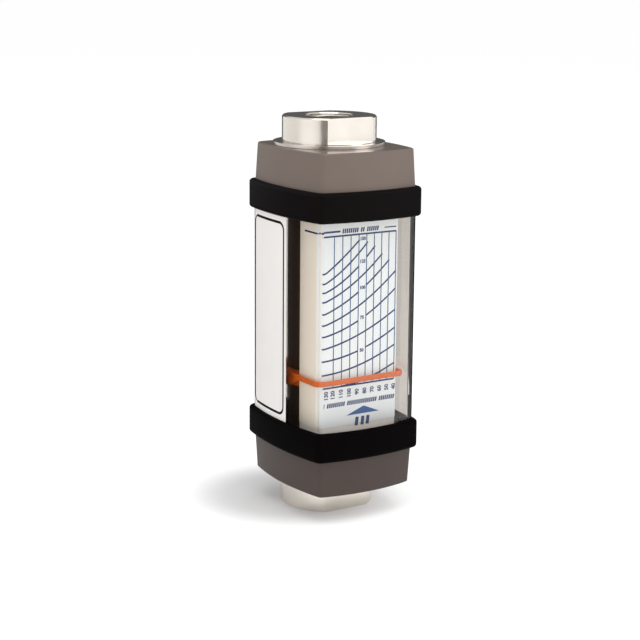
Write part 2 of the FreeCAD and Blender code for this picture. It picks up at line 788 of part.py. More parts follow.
def make_cone_screw(doc):
    """The socket screw that ties the cone to the inlet spider."""
    under_head = "spider_start"
    head = doc.addObject("Part::Cylinder", "screw_head_block")
    head.setExpression("Radius", sized("screw_head / 2"))
    head.setExpression("Height", sized("screw_head_height"))
    head.setExpression("Placement.Base.z", sized(f"{under_head} - screw_head_height"))
    shank = doc.addObject("Part::Cylinder", "screw_shank")
    shank.setExpression("Radius", sized("screw_diameter / 2"))
    shank.setExpression("Height", sized("spider_thickness + screw_grip"))
    shank.setExpression("Placement.Base.z", sized(under_head))
    blank = doc.addObject("Part::Fuse", "screw_blank")
    blank.Base = head
    blank.Tool = shank
    key = doc.addObject("Part::Prism", "screw_key")
    key.Polygon = 6
    key.setExpression("Circumradius", sized("socket_key / sqrt(3)"))
    key.setExpression("Height", sized("screw_head_height / 2"))
    key.setExpression("Placement.Base.z", sized(f"{under_head} - screw_head_height"))
    screw = doc.addObject("Part::Cut", "cone_screw")
    screw.Label = "cone_screw"
    screw.Base = blank
    screw.Tool = key
    doc.recompute()


def make_spider(doc, label, start):
    """A wheel that lets the air past: rim, hub with a hole, and three spokes."""
    body = add_body(doc, label, start)
    add_annulus(body, "spider_radius - spider_rim", "spider_radius", "spider_thickness")
    spoke = add_sketch(body)
    draw_rectangle(spoke, "0", "spider_radius - spider_rim / 2", "-spoke_width / 2", "spoke_width / 2")
    spoke_pad = add_pad(body, spoke, "spider_thickness")
    spokes = body.newObject("PartDesign::PolarPattern", label + "_spokes")
    spokes.Originals = [spoke_pad]
    spokes.Axis = (spoke, ["N_Axis"])
    spokes.Angle = 360
    spokes.Occurrences = 3
    body.Tip = spokes
    doc.recompute()
    hub = add_sketch(body)
    draw_circle(hub, "spider_hub / 2")
    add_pad(body, hub, "spider_thickness")
    hole = add_sketch(body)
    draw_circle(hole, "screw_diameter / 2 + screw_clearance")
    add_pocket(body, hole, "spider_thickness")


def make_spiders(doc):
    """The inlet spider under the cone, the outlet spider over the spring, and their clips."""
    make_spider(doc, "inlet_spider", "spider_start")
    make_spider(doc, "outlet_spider", "spring_top")
    outlet_clip = mirrored("bore_clip_start + clip_thickness")
    for label, start in (("inlet_spider_clip", "bore_clip_start"), ("outlet_spider_clip", outlet_clip)):
        make_split_ring(doc, label, "bore_clip_radius - clip_width", "bore_clip_radius",
                        "clip_thickness", "clip_gap", start)


def make_return_spring(doc):
    """The coil between the piston's clip and the outlet spider, of wire drawn with eight flats."""
    height = "(spring_top - clip_top - spring_wire)"
    coil = doc.addObject("Part::Helix", "spring_coil")
    coil.setExpression("Radius", sized("spring_radius"))
    coil.setExpression("Height", sized(height))
    coil.setExpression("Pitch", sized(f"{height} / spring_turns"))
    coil.SegmentLength = 1
    wire = doc.addObject("Part::RegularPolygon", "spring_wire_section")
    wire.Polygon = 8
    wire.setExpression("Circumradius", sized("spring_wire / 2"))
    wire.Placement = FreeCAD.Placement(FreeCAD.Vector(), FreeCAD.Rotation(FreeCAD.Vector(1, 0, 0), 90))
    wire.setExpression("Placement.Base.x", sized("spring_radius"))
    doc.recompute()
    spring = doc.addObject("Part::Sweep", "return_spring")
    spring.Label = "return_spring"
    spring.Sections = [wire]
    spring.Spine = (coil, [])
    spring.Solid = True
    spring.Frenet = True
    spring.setExpression("Placement.Base.z", sized("clip_top + spring_wire / 2"))
    doc.recompute()


def sub_parts(doc):
    """The objects that are pieces of the meter: the bodies and the labelled solids."""
    singles = ("lower_cap_oring", "upper_cap_oring", "side_label", "cone_screw", "return_spring")
    bodies = [item for item in doc.Objects if item.TypeId == "PartDesign::Body"]
    return bodies + [doc.getObject(name) for name in singles]


def check(doc):
    """Stop when any object failed or any piece is empty or broken."""
    for item in doc.Objects:
        if "Invalid" in item.State or "Error" in item.State:
            raise RuntimeError(f"{item.Name} failed: {item.State}")
    for piece in sub_parts(doc):
        if piece.Shape.isNull() or not piece.Shape.isValid():
            raise RuntimeError(f"{piece.Label} has no valid shape")
        if len(piece.Shape.Solids) != 1:
            raise RuntimeError(f"{piece.Label} has {len(piece.Shape.Solids)} solids")


def main():
    doc = FreeCAD.newDocument("flow_meter")
    add_sheet(doc)
    for make in (make_casing, make_retaining_rings, make_orings, make_end_caps, make_seal_bands,
                 make_window, make_side_label, make_bracket, make_flow_scale, make_indicator,
                 make_follower_magnet, make_piston, make_transfer_magnet, make_metering_cone,
                 make_cone_screw, make_spiders, make_return_spring):
        make(doc)
    doc.recompute()
    check(doc)
    os.makedirs("parts", exist_ok=True)
    for piece in sub_parts(doc):
        piece.Shape.exportStep(f"parts/{piece.Label}.step")
        print(f"{piece.Label}: {piece.Shape.Volume / 1000:.2f} cm3")


main()
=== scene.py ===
"""Looks of an in-line flow meter: turned casing, clear housing, printed chart, orange indicator."""

import logging
import math
from dataclasses import dataclass, field
from enum import Enum
from functools import cache
from typing import Any, Callable, Iterable, Sequence

import bmesh
import bpy
from mathutils import Matrix, Vector
from mathutils.bvhtree import BVHTree


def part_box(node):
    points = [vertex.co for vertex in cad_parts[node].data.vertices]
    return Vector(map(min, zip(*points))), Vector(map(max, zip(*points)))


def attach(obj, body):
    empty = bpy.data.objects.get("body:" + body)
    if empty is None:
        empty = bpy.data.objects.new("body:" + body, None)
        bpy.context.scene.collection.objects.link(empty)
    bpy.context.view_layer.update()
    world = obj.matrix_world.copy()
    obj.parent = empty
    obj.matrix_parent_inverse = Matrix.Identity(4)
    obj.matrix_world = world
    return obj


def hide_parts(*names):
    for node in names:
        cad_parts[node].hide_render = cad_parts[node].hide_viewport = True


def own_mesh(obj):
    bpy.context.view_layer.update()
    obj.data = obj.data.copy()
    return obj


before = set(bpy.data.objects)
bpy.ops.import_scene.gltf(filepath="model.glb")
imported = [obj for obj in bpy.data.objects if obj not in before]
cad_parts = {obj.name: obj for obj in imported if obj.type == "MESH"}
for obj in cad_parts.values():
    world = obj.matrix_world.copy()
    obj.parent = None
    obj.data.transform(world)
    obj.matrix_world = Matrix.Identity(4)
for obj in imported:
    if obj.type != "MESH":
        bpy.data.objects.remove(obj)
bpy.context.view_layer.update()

MM = 0.001
UP = Vector((0, 0, 1))
# Strokes are laid in steps this short, so that they follow the film's bends
STROKE_STEP = 0.35 * MM
# Figures are this much bolder than the plain letter form, as ink spreads
FIGURE_WEIGHT = 0.1 * MM
# Ink is pressed on its surface from this far away, in metres
PRESS_START = 0.1
# Corners nearer than this are one, and faces that turn by less than this are one
SEAM_GAP = 0.002 * MM
FLAT_TURN = math.radians(0.3)
# Where a piece has round edges, those that turn by more than this are rounded
ROUND_TURN = math.radians(40)
# The width of the broad mottling that every surface has
CLOUD_WIDTH = 9 * MM
LOG = logging.getLogger("flow_meter")


class Body(str, Enum):
    """The bodies that carry a piece made here."""

    CASING = "casing"
    HOUSING = "housing"
    FOLLOWER = "follower"


class Slot(str, Enum):
    """The material slots of the meter's record."""

    ALUMINIUM = "machined_aluminium"
    SPRING_STEEL = "spring_steel"
    STAINLESS = "stainless_steel"
    NYLON = "grey_nylon"
    RUBBER = "black_rubber"
    CLEAR = "clear_polycarbonate"
    LABEL = "label_film"
    SHEET = "white_sheet"
    FILM = "scale_film"
    ORANGE = "orange_plastic"
    FERRITE = "magnet_ferrite"


def linear(colour: str) -> tuple[float, float, float, float]:
    """Turn an sRGB hex value into linear light.

    Args:
        colour: Six hex digits after a hash.

    Returns:
        Red, green, blue and an alpha of one.
    """
    parts = [int(colour[i:i + 2], 16) / 255 for i in (1, 3, 5)]
    red, green, blue = (p / 12.92 if p <= 0.04045 else ((p + 0.055) / 1.055) ** 2.4 for p in parts)
    return red, green, blue, 1.0


def add_node(tree: bpy.types.NodeTree, kind: str, inputs: dict[Any, Any] | None = None,
             **settings: Any) -> bpy.types.bpy_prop_collection:
    """Add one node with its settings, values and links.

    Args:
        tree: The tree that takes the node.
        kind: The node's type name.
        inputs: Values or sockets by input name or number.
        settings: Properties of the node itself.

    Returns:
        The new node's outputs.
    """
    node = tree.nodes.new(kind)
    for name, value in settings.items():
        setattr(node, name, value)
    for key, value in (inputs or {}).items():
        if isinstance(value, bpy.types.NodeSocket):
            tree.links.new(value, node.inputs[key])
        else:
            node.inputs[key].default_value = value
    return node.outputs


def blank_material(name: str) -> tuple[bpy.types.Material, bpy.types.NodeTree]:
    """Make a material with no nodes in it.

    Args:
        name: The material's name.

    Returns:
        The material and its tree.
    """
    material = bpy.data.materials.new(name)
    material.use_nodes = True
    material.node_tree.nodes.clear()
    return material, material.node_tree


def linked(name: str, data: bpy.types.ID) -> bpy.types.Object:
    """Put new data in the scene as an object at the origin.

    Args:
        name: The object's name.
        data: Its mesh, text, camera or lamp.

    Returns:
        The object.
    """
    item = bpy.data.objects.new(name, data)
    bpy.context.scene.collection.objects.link(item)
    return item


@dataclass(frozen=True)
class Finish:
    """A surface: what it is made of and how it was made.

    The grain is in millimetres. Real grains and tool marks are too fine to show from here, so each is drawn
    as coarse as it needs to show.
    """

    name: str
    slot: Slot
    colour: str
    shade: str
    roughness: float
    grain: float = 0.3
    bump: float = 0.02
    spread: float = 0.06
    metallic: float = 0.0
    ior: float = 1.5
    turned: bool = False

    def build(self) -> bpy.types.Material:
        """Make the material: mottled colour, uneven roughness and a fine relief.

        Returns:
            The material.
        """
        material, tree = blank_material(self.name)
        place = self.grain_place(tree)
        grain = add_node(tree, "ShaderNodeTexNoise",
                         {"Vector": place, "Scale": 1.0 / (self.grain * MM), "Detail": 3.0, "Roughness": 0.6})
        where = add_node(tree, "ShaderNodeTexCoord")["Object"]
        cloud = add_node(tree, "ShaderNodeTexNoise",
                         {"Vector": where, "Scale": 1.0 / CLOUD_WIDTH, "Detail": 2.0})
        mixed = add_node(tree, "ShaderNodeMix", {"Factor": 0.5, "A": grain["Fac"], "B": cloud["Fac"]},
                         data_type="FLOAT")
        blend = add_node(tree, "ShaderNodeMix",
                         {"Factor": mixed[0], "A": linear(self.shade), "B": linear(self.colour)},
                         data_type="RGBA")
        uneven = add_node(tree, "ShaderNodeMapRange",
                          {"Value": mixed[0], "To Min": self.roughness - self.spread,
                           "To Max": self.roughness + self.spread})
        relief = add_node(tree, "ShaderNodeBump",
                          {"Height": grain["Fac"], "Strength": 0.6, "Distance": self.bump * MM})
        skin = {"Base Color": blend["Result"], "Roughness": uneven["Result"],
                "Normal": relief["Normal"], "Metallic": self.metallic}
        if not self.metallic:
            skin["IOR"] = self.ior
        surface = add_node(tree, "ShaderNodeBsdfPrincipled", skin)
        add_node(tree, "ShaderNodeOutputMaterial", {"Surface": surface["BSDF"]})
        return material

    def grain_place(self, tree: bpy.types.NodeTree) -> bpy.types.NodeSocket:
        """Give the place that the grain is read at: rings about the axis on a turned piece.

        Args:
            tree: The material's tree.

        Returns:
            A vector socket.
        """
        where = add_node(tree, "ShaderNodeTexCoord")["Object"]
        if not self.turned:
            return where
        apart = add_node(tree, "ShaderNodeSeparateXYZ", {"Vector": where})
        flat = add_node(tree, "ShaderNodeCombineXYZ", {"X": apart["X"], "Y": apart["Y"]})
        reach = add_node(tree, "ShaderNodeVectorMath", {0: flat["Vector"]}, operation="LENGTH")
        return add_node(tree, "ShaderNodeCombineXYZ", {"X": reach["Value"], "Y": apart["Z"]})["Vector"]


@dataclass(frozen=True)
class Ink(Finish):
    """A screen ink: it lies flat and thin, with hardly any gleam of its own."""

    roughness: float = 0.5
    grain: float = 0.4
    bump: float = 0.002
    ior: float = 1.15


@dataclass(frozen=True)
class ClearFinish:
    """Extruded polycarbonate: clear, glossy, and open to the light of lamps."""

    name: str = "extruded_clear_polycarbonate"
    slot: Slot = Slot.CLEAR
    colour: str = "#ece8e4"
    roughness: float = 0.02
    ior: float = 1.4

    def build(self) -> bpy.types.Material:
        """Make the material, which lets shadow and diffuse rays through unbent.

        Returns:
            The material.
        """
        material, tree = blank_material(self.name)
        glass = add_node(tree, "ShaderNodeBsdfPrincipled",
                         {"Base Color": linear(self.colour), "Roughness": self.roughness,
                          "IOR": self.ior, "Transmission Weight": 1.0})
        air = add_node(tree, "ShaderNodeBsdfTransparent", {"Color": linear("#ffffff")})
        ray = add_node(tree, "ShaderNodeLightPath")
        lamp = add_node(tree, "ShaderNodeMath", {0: ray["Is Shadow Ray"], 1: ray["Is Diffuse Ray"]},
                        operation="MAXIMUM")
        both = add_node(tree, "ShaderNodeMixShader", {0: lamp[0], 1: glass["BSDF"], 2: air["BSDF"]})
        add_node(tree, "ShaderNodeOutputMaterial", {"Surface": both["Shader"]})
        return material


@dataclass(frozen=True)
class Paper:
    """Dry card of one even colour, which glossy faces reflect as a flat tone."""

    name: str
    colour: str

    def build(self) -> bpy.types.Material:
        """Make the material.

        Returns:
            The material.
        """
        material, tree = blank_material(self.name)
        skin = add_node(tree, "ShaderNodeBsdfPrincipled",
                        {"Base Color": linear(self.colour), "Roughness": 0.9, "IOR": 1.1})
        add_node(tree, "ShaderNodeOutputMaterial", {"Surface": skin["BSDF"]})
        return material


# Turned aluminium, bright: fine rings about the axis that stretch its reflections
ALUMINIUM = Finish("turned_aluminium", Slot.ALUMINIUM, "#ece6dd", "#d6cfc5", 0.2,
                   grain=0.35, bump=0.012, spread=0.07, metallic=1.0, turned=True)
# The cut thread is coarser and keeps oil, so it is a little duller
CUT_THREAD = Finish("cut_thread_aluminium", Slot.ALUMINIUM, "#cfc9bf", "#a8a197", 0.3,
                    grain=0.25, bump=0.015, metallic=1.0, turned=True)
# The casing's wall between the caps, seen through the window, is painted dark brown and half as shiny:
# painted shade
WALL_PAINTED_SHADE = Finish("aluminium_wall_painted_shade", Slot.ALUMINIUM, "#7d6454", "#5e4839", 0.4,
                    grain=0.35, bump=0.012, metallic=0.35, turned=True)
# Stamped spring steel, tumbled: satin with a soft gleam
SPRING_STEEL = Finish("tumbled_spring_steel", Slot.SPRING_STEEL, "#dcd3cc", "#bfb6af", 0.24,
                      grain=0.5, bump=0.008, metallic=1.0)
# Turned stainless steel of the inner pieces: cooler and less bright than the aluminium
STAINLESS = Finish("turned_stainless_steel", Slot.STAINLESS, "#cfcdc9", "#b3b0ab", 0.28,
                   grain=0.3, bump=0.01, metallic=1.0, turned=True)
# Moulded nylon, warm grey: a fine spark-eroded grain that breaks up its gleam
NYLON = Finish("moulded_grey_nylon", Slot.NYLON, "#73665e", "#695d56", 0.5,
               grain=0.45, bump=0.03, ior=1.35)
# The upper cap's top, polished by hands and spanners, so that it mirrors the port above it
NYLON_WORN = Finish("hand_polished_grey_nylon", Slot.NYLON, "#6c5f56", "#62564e", 0.24,
                    grain=0.45, bump=0.01, spread=0.05, ior=1.5)
# The same nylon, painted darker at the lower end: painted shade
NYLON_PAINTED_SHADE = Finish("moulded_grey_nylon_painted_shade", Slot.NYLON, "#4b403c", "#433a36", 0.5,
                    grain=0.45, bump=0.03, ior=1.3)
# The shelf of the lower cap inside the window, painted darker still: painted shade
NYLON_SHELF_PAINTED_SHADE = Finish("grey_nylon_shelf_painted_shade", Slot.NYLON, "#2b2422", "#241e1c", 0.45,
                     grain=0.45, bump=0.03, ior=1.2)
# Moulded rubber, near black: satin with a wide dull gleam
RUBBER = Finish("moulded_black_rubber", Slot.RUBBER, "#0f0b0b", "#070505", 0.5,
                grain=0.6, bump=0.02, ior=1.12)
# The lower band is darker and duller than the upper one
RUBBER_DULL = Finish("dull_black_rubber", Slot.RUBBER, "#070505", "#030202", 0.6,
                     grain=0.6, bump=0.02, ior=1.08)
# Vinyl label, off white with a soft gloss; its back is painted dark, a painted shade that shows from inside
# the window
LABEL = Finish("vinyl_label_film", Slot.LABEL, "#eae7e4", "#e1deda", 0.4, grain=0.8, bump=0.004, ior=1.46)
LABEL_BACK_PAINTED_SHADE = Finish("label_back_painted_shade", Slot.LABEL, "#2a201b", "#1d1612", 0.6, grain=0.8, bump=0.01, ior=1.4)
# Painted sheet, warm white and even
SHEET = Finish("painted_white_sheet", Slot.SHEET, "#f0ece6", "#e6e1d9", 0.42, grain=0.7, bump=0.01)
# Printed polyester film over the sheet: a cool white with a faint sheen
FILM = Finish("printed_polyester_film", Slot.FILM, "#f3fafd", "#ecf4f8", 0.34,
              grain=0.9, bump=0.003, ior=1.6)
# The film's flanges have no print and take a warmer copy of the film's colour, which is painted light, so
# they look cream beside the front
FILM_FLANGE_PAINTED_LIGHT = Finish("polyester_film_flange_painted_light", Slot.FILM, "#fdf5e8", "#f6eddc", 0.34,
                     grain=0.9, bump=0.003, ior=1.6)
# Dark ink for curves, rules and figures, pale ink for the fine uprights, blue for the triangle
INK_DARK = Ink("dark_blue_screen_ink", Slot.FILM, "#0a2b66", "#133870")
INK_PALE = Ink("pale_blue_screen_ink", Slot.FILM, "#305c8e", "#3b6798")
INK_BLUE = Ink("blue_screen_ink", Slot.FILM, "#2c5698", "#345ea1")
INK_BLACK = Ink("black_label_ink", Slot.LABEL, "#050505", "#0b0b0b")
# Moulded acetal, orange: a clean gloss with the pigment a little uneven
ORANGE = Finish("moulded_orange_acetal", Slot.ORANGE, "#df6c27", "#d05e1b", 0.36,
                grain=0.8, bump=0.008, ior=1.48)
# Sintered ferrite: charcoal, dry and without gleam
FERRITE = Finish("sintered_ferrite", Slot.FERRITE, "#35353a", "#232327", 0.62, grain=0.2, bump=0.03)
CLEAR = ClearFinish()
GREY_PAPER = Paper("grey_paper", "#77726f")
BLACK_PAPER = Paper("black_paper", "#171312")


@cache
def material_of(finish: Finish | ClearFinish | Paper) -> bpy.types.Material:
    """Give the finish's material, made at its first use."""
    return finish.build()


def seat_piece(name: str, mesh: bpy.types.Mesh, finish: Finish | ClearFinish, body: Body,
               replaced: Sequence[str] = ()) -> bpy.types.Object:
    """Put a finished mesh in the scene, on its body and with its finish's material.

    Args:
        name: The piece's name.
        mesh: Its mesh, in place.
        finish: Its surface.
        body: The body that carries it.
        replaced: The nodes that it stands for.

    Returns:
        The piece.
    """
    mesh.name = name
    mesh.materials.clear()
    mesh.materials.append(material_of(finish))
    piece = linked(name, mesh)
    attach(piece, body.value)
    if replaced:
        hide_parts(*replaced)
    LOG.info("%s rides on %s in %s, %d faces", name, body.value, finish.name, len(mesh.polygons))
    return piece


def applied(piece: bpy.types.Object) -> bpy.types.Mesh:
    """Turn an object with modifiers into a plain mesh and remove the object.

    Args:
        piece: An object at the origin.

    Returns:
        Its evaluated mesh.
    """
    graph = bpy.context.evaluated_depsgraph_get()
    mesh = bpy.data.meshes.new_from_object(piece.evaluated_get(graph))
    piece.modifiers.clear()
    bpy.data.objects.remove(piece)
    return mesh


def as_mesh(name: str, shape: bmesh.types.BMesh) -> bpy.types.Mesh:
    """Turn a worked shape into a mesh.

    Args:
        name: The mesh's name.
        shape: The shape, which is freed.

    Returns:
        The mesh.
    """
    mesh = bpy.data.meshes.new(name)
    shape.to_mesh(mesh)
    shape.free()
    return mesh


def reseat(name: str, node: str, finish: Finish | ClearFinish, body: Body, crease: float = 28.0,
           edge_round: float = 0.0) -> bpy.types.Object:
    """Put a copy of a node in its stead, with merged seams, soft curves and crisp edges.

    Args:
        name: The piece's name.
        node: The node that it stands for.
        finish: Its surface.
        body: The body that carries it.
        crease: Edges that turn by more than this many degrees stay crisp.
        edge_round: The radius of its edges in millimetres, or nothing.

    Returns:
        The piece.
    """
    shape = bmesh.new()
    shape.from_mesh(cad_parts[node].data)
    bmesh.ops.remove_doubles(shape, verts=shape.verts, dist=SEAM_GAP)
    bmesh.ops.dissolve_limit(shape, angle_limit=FLAT_TURN, verts=shape.verts, edges=shape.edges)
    for face in shape.faces:
        face.smooth = True
    for edge in shape.edges:
        edge.smooth = len(edge.link_faces) == 2 and edge.calc_face_angle(0.0) < math.radians(crease)
    draft = linked(node + "_draft", as_mesh(node + "_form", shape))
    if edge_round:
        bevel = draft.modifiers.new("edges", "BEVEL")
        bevel.width = edge_round * MM
        bevel.segments = 2
        bevel.limit_method = "ANGLE"
        bevel.angle_limit = ROUND_TURN
    weighted = draft.modifiers.new("normals", "WEIGHTED_NORMAL")
    weighted.keep_sharp = True
    return seat_piece(name, applied(draft), finish, body, [node])


def refinish(piece: bpy.types.Object, finish: Finish,
             chosen: Callable[[bpy.types.MeshPolygon], bool]) -> None:
    """Give some faces of a piece a second finish.

    Args:
        piece: The piece.
        finish: The second surface.
        chosen: Says of a face whether it takes that surface.
    """
    piece.data.materials.append(material_of(finish))
    for face in piece.data.polygons:
        face.material_index = int(chosen(face))


def dress(node: str, finish: Finish) -> None:
    """Give a node that stays a finish in its own slots.

    Args:
        node: The node's name.
        finish: Its surface.
    """
    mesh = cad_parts[node].data
    mesh.materials.clear()
    mesh.materials.append(material_of(finish))
    LOG.info("%s stays, in %s", node, finish.name)


class ShapeTree:
    """A Geometry Nodes tree with a named input for each of its sizes."""

    def __init__(self, name: str, sizes: dict[str, Any], finish: Finish) -> None:
        """Start the tree with its inputs.

        Args:
            name: The tree's name.
            sizes: The value of each input by its name, one number or a tuple of three.
            finish: The surface of what it makes.
        """
        self.sizes = sizes
        self.finish = finish
        self.sockets: dict[str, str] = {}
        self.tree = bpy.data.node_groups.new(name, "GeometryNodeTree")
        face = self.tree.interface
        face.new_socket("Geometry", in_out="INPUT", socket_type="NodeSocketGeometry")
        for key, value in sizes.items():
            kind = "NodeSocketVector" if isinstance(value, tuple) else "NodeSocketFloat"
            self.sockets[key] = face.new_socket(key, in_out="INPUT", socket_type=kind).identifier
        face.new_socket("Geometry", in_out="OUTPUT", socket_type="NodeSocketGeometry")
        self.given = self.add("NodeGroupInput")

    def add(self, kind: str, inputs: dict[Any, Any] | None = None,
            **settings: Any) -> bpy.types.bpy_prop_collection:
        """Add one node to the tree and give its outputs."""
        return add_node(self.tree, kind, inputs, **settings)

    def grow(self, geometry: bpy.types.NodeSocket, name: str, mesh: bpy.types.Mesh, body: Body) -> None:
        """End the tree with real geometry of one material, run it on a mesh and seat the result.

        Args:
            geometry: What the tree has made.
            name: The piece's name.
            mesh: What the tree starts from.
            body: The body that carries the piece.
        """
        real = self.add("GeometryNodeRealizeInstances", {"Geometry": geometry})
        done = self.add("GeometryNodeSetMaterial",
                        {"Geometry": real["Geometry"], "Material": material_of(self.finish)})
        self.add("NodeGroupOutput", {"Geometry": done["Geometry"]})
        draft = linked(name + "_draft", mesh)
        maker = draft.modifiers.new("shape", "NODES")
        maker.node_group = self.tree
        for key, value in self.sizes.items():
            maker[self.sockets[key]] = value
        seat_piece(name, applied(draft), self.finish, body)


def spaced(start: Vector, end: Vector, step: float) -> list[Vector]:
    """Points from the start up to the end, no further apart than the step.

    Args:
        start: The first point.
        end: The point that the last one stops short of.
        step: The widest gap.

    Returns:
        The points, with the start and without the end.
    """
    count = max(1, math.ceil((end - start).length / step))
    return [start.lerp(end, index / count) for index in range(count)]


class Print:
    """Ink on a surface: strokes, fields and figures laid on a node along one level direction."""

    def __init__(self, node: str, inward: Vector, thickness: float, body: Body) -> None:
        """Make ready to print on a node.

        Args:
            node: The node that carries the ink.
            inward: The direction in which the ink is pressed on it.
            thickness: The ink's thickness in millimetres.
            body: The body that carries the node.
        """
        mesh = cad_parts[node].data
        corners = [vertex.co.copy() for vertex in mesh.vertices]
        self.surface = BVHTree.FromPolygons(corners, [tuple(face.vertices) for face in mesh.polygons])
        self.inward = inward
        self.thickness = thickness * MM
        self.body = body

    def touch(self, point: Vector) -> Vector:
        """Move a point along the print's direction onto the node's face."""
        hit = self.surface.ray_cast(point - self.inward * PRESS_START, self.inward)[0]
        return hit if hit else point

    def strokes(self, name: str, lines: Iterable[Sequence[Vector]], width: float, finish: Finish) -> None:
        """Lay strokes on the surface with a tree that sweeps a flat section along them.

        Args:
            name: The piece's name.
            lines: The points of each stroke, near the surface.
            width: The strokes' width in millimetres.
            finish: The ink.
        """
        points: list[Vector] = []
        edges: list[tuple[int, int]] = []
        for line in lines:
            first = len(points)
            closer = [point for pair in zip(line, line[1:]) for point in spaced(*pair, STROKE_STEP)]
            points.extend(self.touch(point) for point in (*closer, line[-1]))
            edges.extend((index, index + 1) for index in range(first, len(points) - 1))
        mesh = bpy.data.meshes.new(name)
        mesh.from_pydata(points, edges, [])
        tree = ShapeTree("ink_strokes", {"Stroke width": width * MM, "Ink thickness": 2 * self.thickness,
                                         "Face direction": tuple(self.inward)}, finish)
        path = tree.add("GeometryNodeMeshToCurve", {"Mesh": tree.given["Geometry"]})
        faced = tree.add("GeometryNodeSetCurveNormal",
                         {"Curve": path["Curve"], "Normal": tree.given["Face direction"]}, mode="FREE")
        section = tree.add("GeometryNodeCurvePrimitiveQuadrilateral",
                           {"Width": tree.given["Ink thickness"], "Height": tree.given["Stroke width"]})
        swept = tree.add("GeometryNodeCurveToMesh",
                         {"Curve": faced["Curve"], "Profile Curve": section["Curve"], "Fill Caps": True})
        tree.grow(swept["Mesh"], name, mesh, self.body)

    def field(self, name: str, corners: Sequence[Vector], finish: Finish) -> None:
        """Lay a flat field of ink with straight edges.

        Args:
            name: The piece's name.
            corners: Its corners in order, near the surface.
            finish: The ink.
        """
        shape = bmesh.new()
        lift = -self.inward * self.thickness
        face = shape.faces.new([shape.verts.new(self.touch(corner) + lift) for corner in corners])
        walls = bmesh.ops.extrude_face_region(shape, geom=[face])
        moved = [item for item in walls["geom"] if isinstance(item, bmesh.types.BMVert)]
        bmesh.ops.translate(shape, verts=moved, vec=-2 * lift)
        bmesh.ops.recalc_face_normals(shape, faces=shape.faces)
        seat_piece(name, as_mesh(name, shape), finish, self.body)

    def figures(self, name: str, entries: Iterable[tuple[str, Vector, float]], height: float,
                finish: Finish) -> None:
        """Lay plain numbers on the surface.

        Args:
            name: The piece's name.
            entries: Each number with its centre and its turn in degrees.
            height: The size of the figures in millimetres.
            finish: The ink.
        """
        shape = bmesh.new()
        basis = Matrix((self.inward.cross(UP), UP, -self.inward)).transposed().to_4x4()
        for words, centre, turn in entries:
            text = bpy.data.curves.new(name, "FONT")
            text.body = words
            text.size = height * MM
            text.align_x = "CENTER"
            text.align_y = "CENTER"
            text.extrude = self.thickness
            text.resolution_u = 3
            text.offset = FIGURE_WEIGHT
            flat = applied(linked(name + "_draft", text))
            spun = Matrix.Rotation(math.radians(turn), 4, "Z")
            flat.transform(Matrix.Translation(self.touch(centre)) @ basis @ spun)
            shape.from_mesh(flat)
            bpy.data.meshes.remove(flat)
        seat_piece(name, as_mesh(name, shape), finish, self.body)


@dataclass
class ThreadedCasing:
    """The turned casing with its threads, rings, seals and what is fixed in its bore."""

    thread_root: float = 10.3
    thread_depth: float = 0.9
    thread_pitch: float = 1.814
    thread_start: float = 1.3
    thread_run: float = 12.7
    turn_steps: int = 64
    coil_crease: float = 50.0
    piston_travel: float = 60.0

    def build(self) -> None:
        """Dress the casing and what is fixed to it, and cut its two threads."""
        casing = reseat("turned_casing", "pressure_casing", ALUMINIUM, Body.CASING)
        # The wall inside the window takes the dark brown of painted shade
        low, high = (corner.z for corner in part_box("window"))
        refinish(casing, WALL_PAINTED_SHADE, lambda face: low < face.center.z < high and (
            Vector((face.center.x, face.center.y, 0)).dot(face.normal) > 0))
        for end in ("lower", "upper"):
            reseat(f"{end}_ring", f"{end}_retaining_ring", SPRING_STEEL, Body.CASING)
            dress(f"{end}_cap_oring", RUBBER)
        for node in ("inlet_spider_clip", "outlet_spider_clip"):
            dress(node, SPRING_STEEL)
        self.coil_spring()
        for node in ("inlet_spider", "outlet_spider", "metering_cone", "cone_screw"):
            dress(node, STAINLESS)
        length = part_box("pressure_casing")[1].z / MM
        middle = self.thread_start + self.thread_run / 2
        for name, height in (("inlet_thread", middle), ("outlet_thread", length - middle)):
            self.thread(name, height)

    def coil_spring(self) -> None:
        """Seat the return spring on a mesh of its own."""
        spring = reseat("coiled_spring", "return_spring", SPRING_STEEL, Body.CASING, self.coil_crease)
        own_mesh(spring)

    def thread(self, name: str, middle: float) -> None:
        """Cut one thread: a ridge of V section that winds up the port's wall.

        Args:
            name: The piece's name.
            middle: The height of the middle of the thread in millimetres.
        """
        tree = ShapeTree("thread_ridge", {
            "Root radius": self.thread_root * MM, "Ridge width": 2 * self.thread_depth * MM,
            "Flank height": self.thread_pitch * MM / 2, "Turns": self.thread_run / self.thread_pitch,
            "Run": self.thread_run * MM, "Base": (middle - self.thread_run / 2) * MM}, CUT_THREAD)
        given = tree.given
        path = tree.add("GeometryNodeCurveSpiral",
                        {"Resolution": self.turn_steps, "Rotations": given["Turns"], "Height": given["Run"],
                         "Start Radius": given["Root radius"], "End Radius": given["Root radius"]})
        ridge = tree.add("GeometryNodeCurvePrimitiveQuadrilateral",
                         {"Width": given["Ridge width"], "Bottom Height": given["Flank height"],
                          "Top Height": given["Flank height"]}, mode="KITE")
        upright = tree.add("GeometryNodeSetCurveNormal", {"Curve": path["Curve"]}, mode="Z_UP")
        swept = tree.add("GeometryNodeCurveToMesh",
                         {"Curve": upright["Curve"], "Profile Curve": ridge["Curve"], "Fill Caps": True})
        spot = tree.add("ShaderNodeCombineXYZ", {"Z": given["Base"]})
        moved = tree.add("GeometryNodeTransform", {"Geometry": swept["Mesh"], "Translation": spot["Vector"]})
        tree.grow(moved["Geometry"], name, bpy.data.meshes.new(name), Body.CASING)


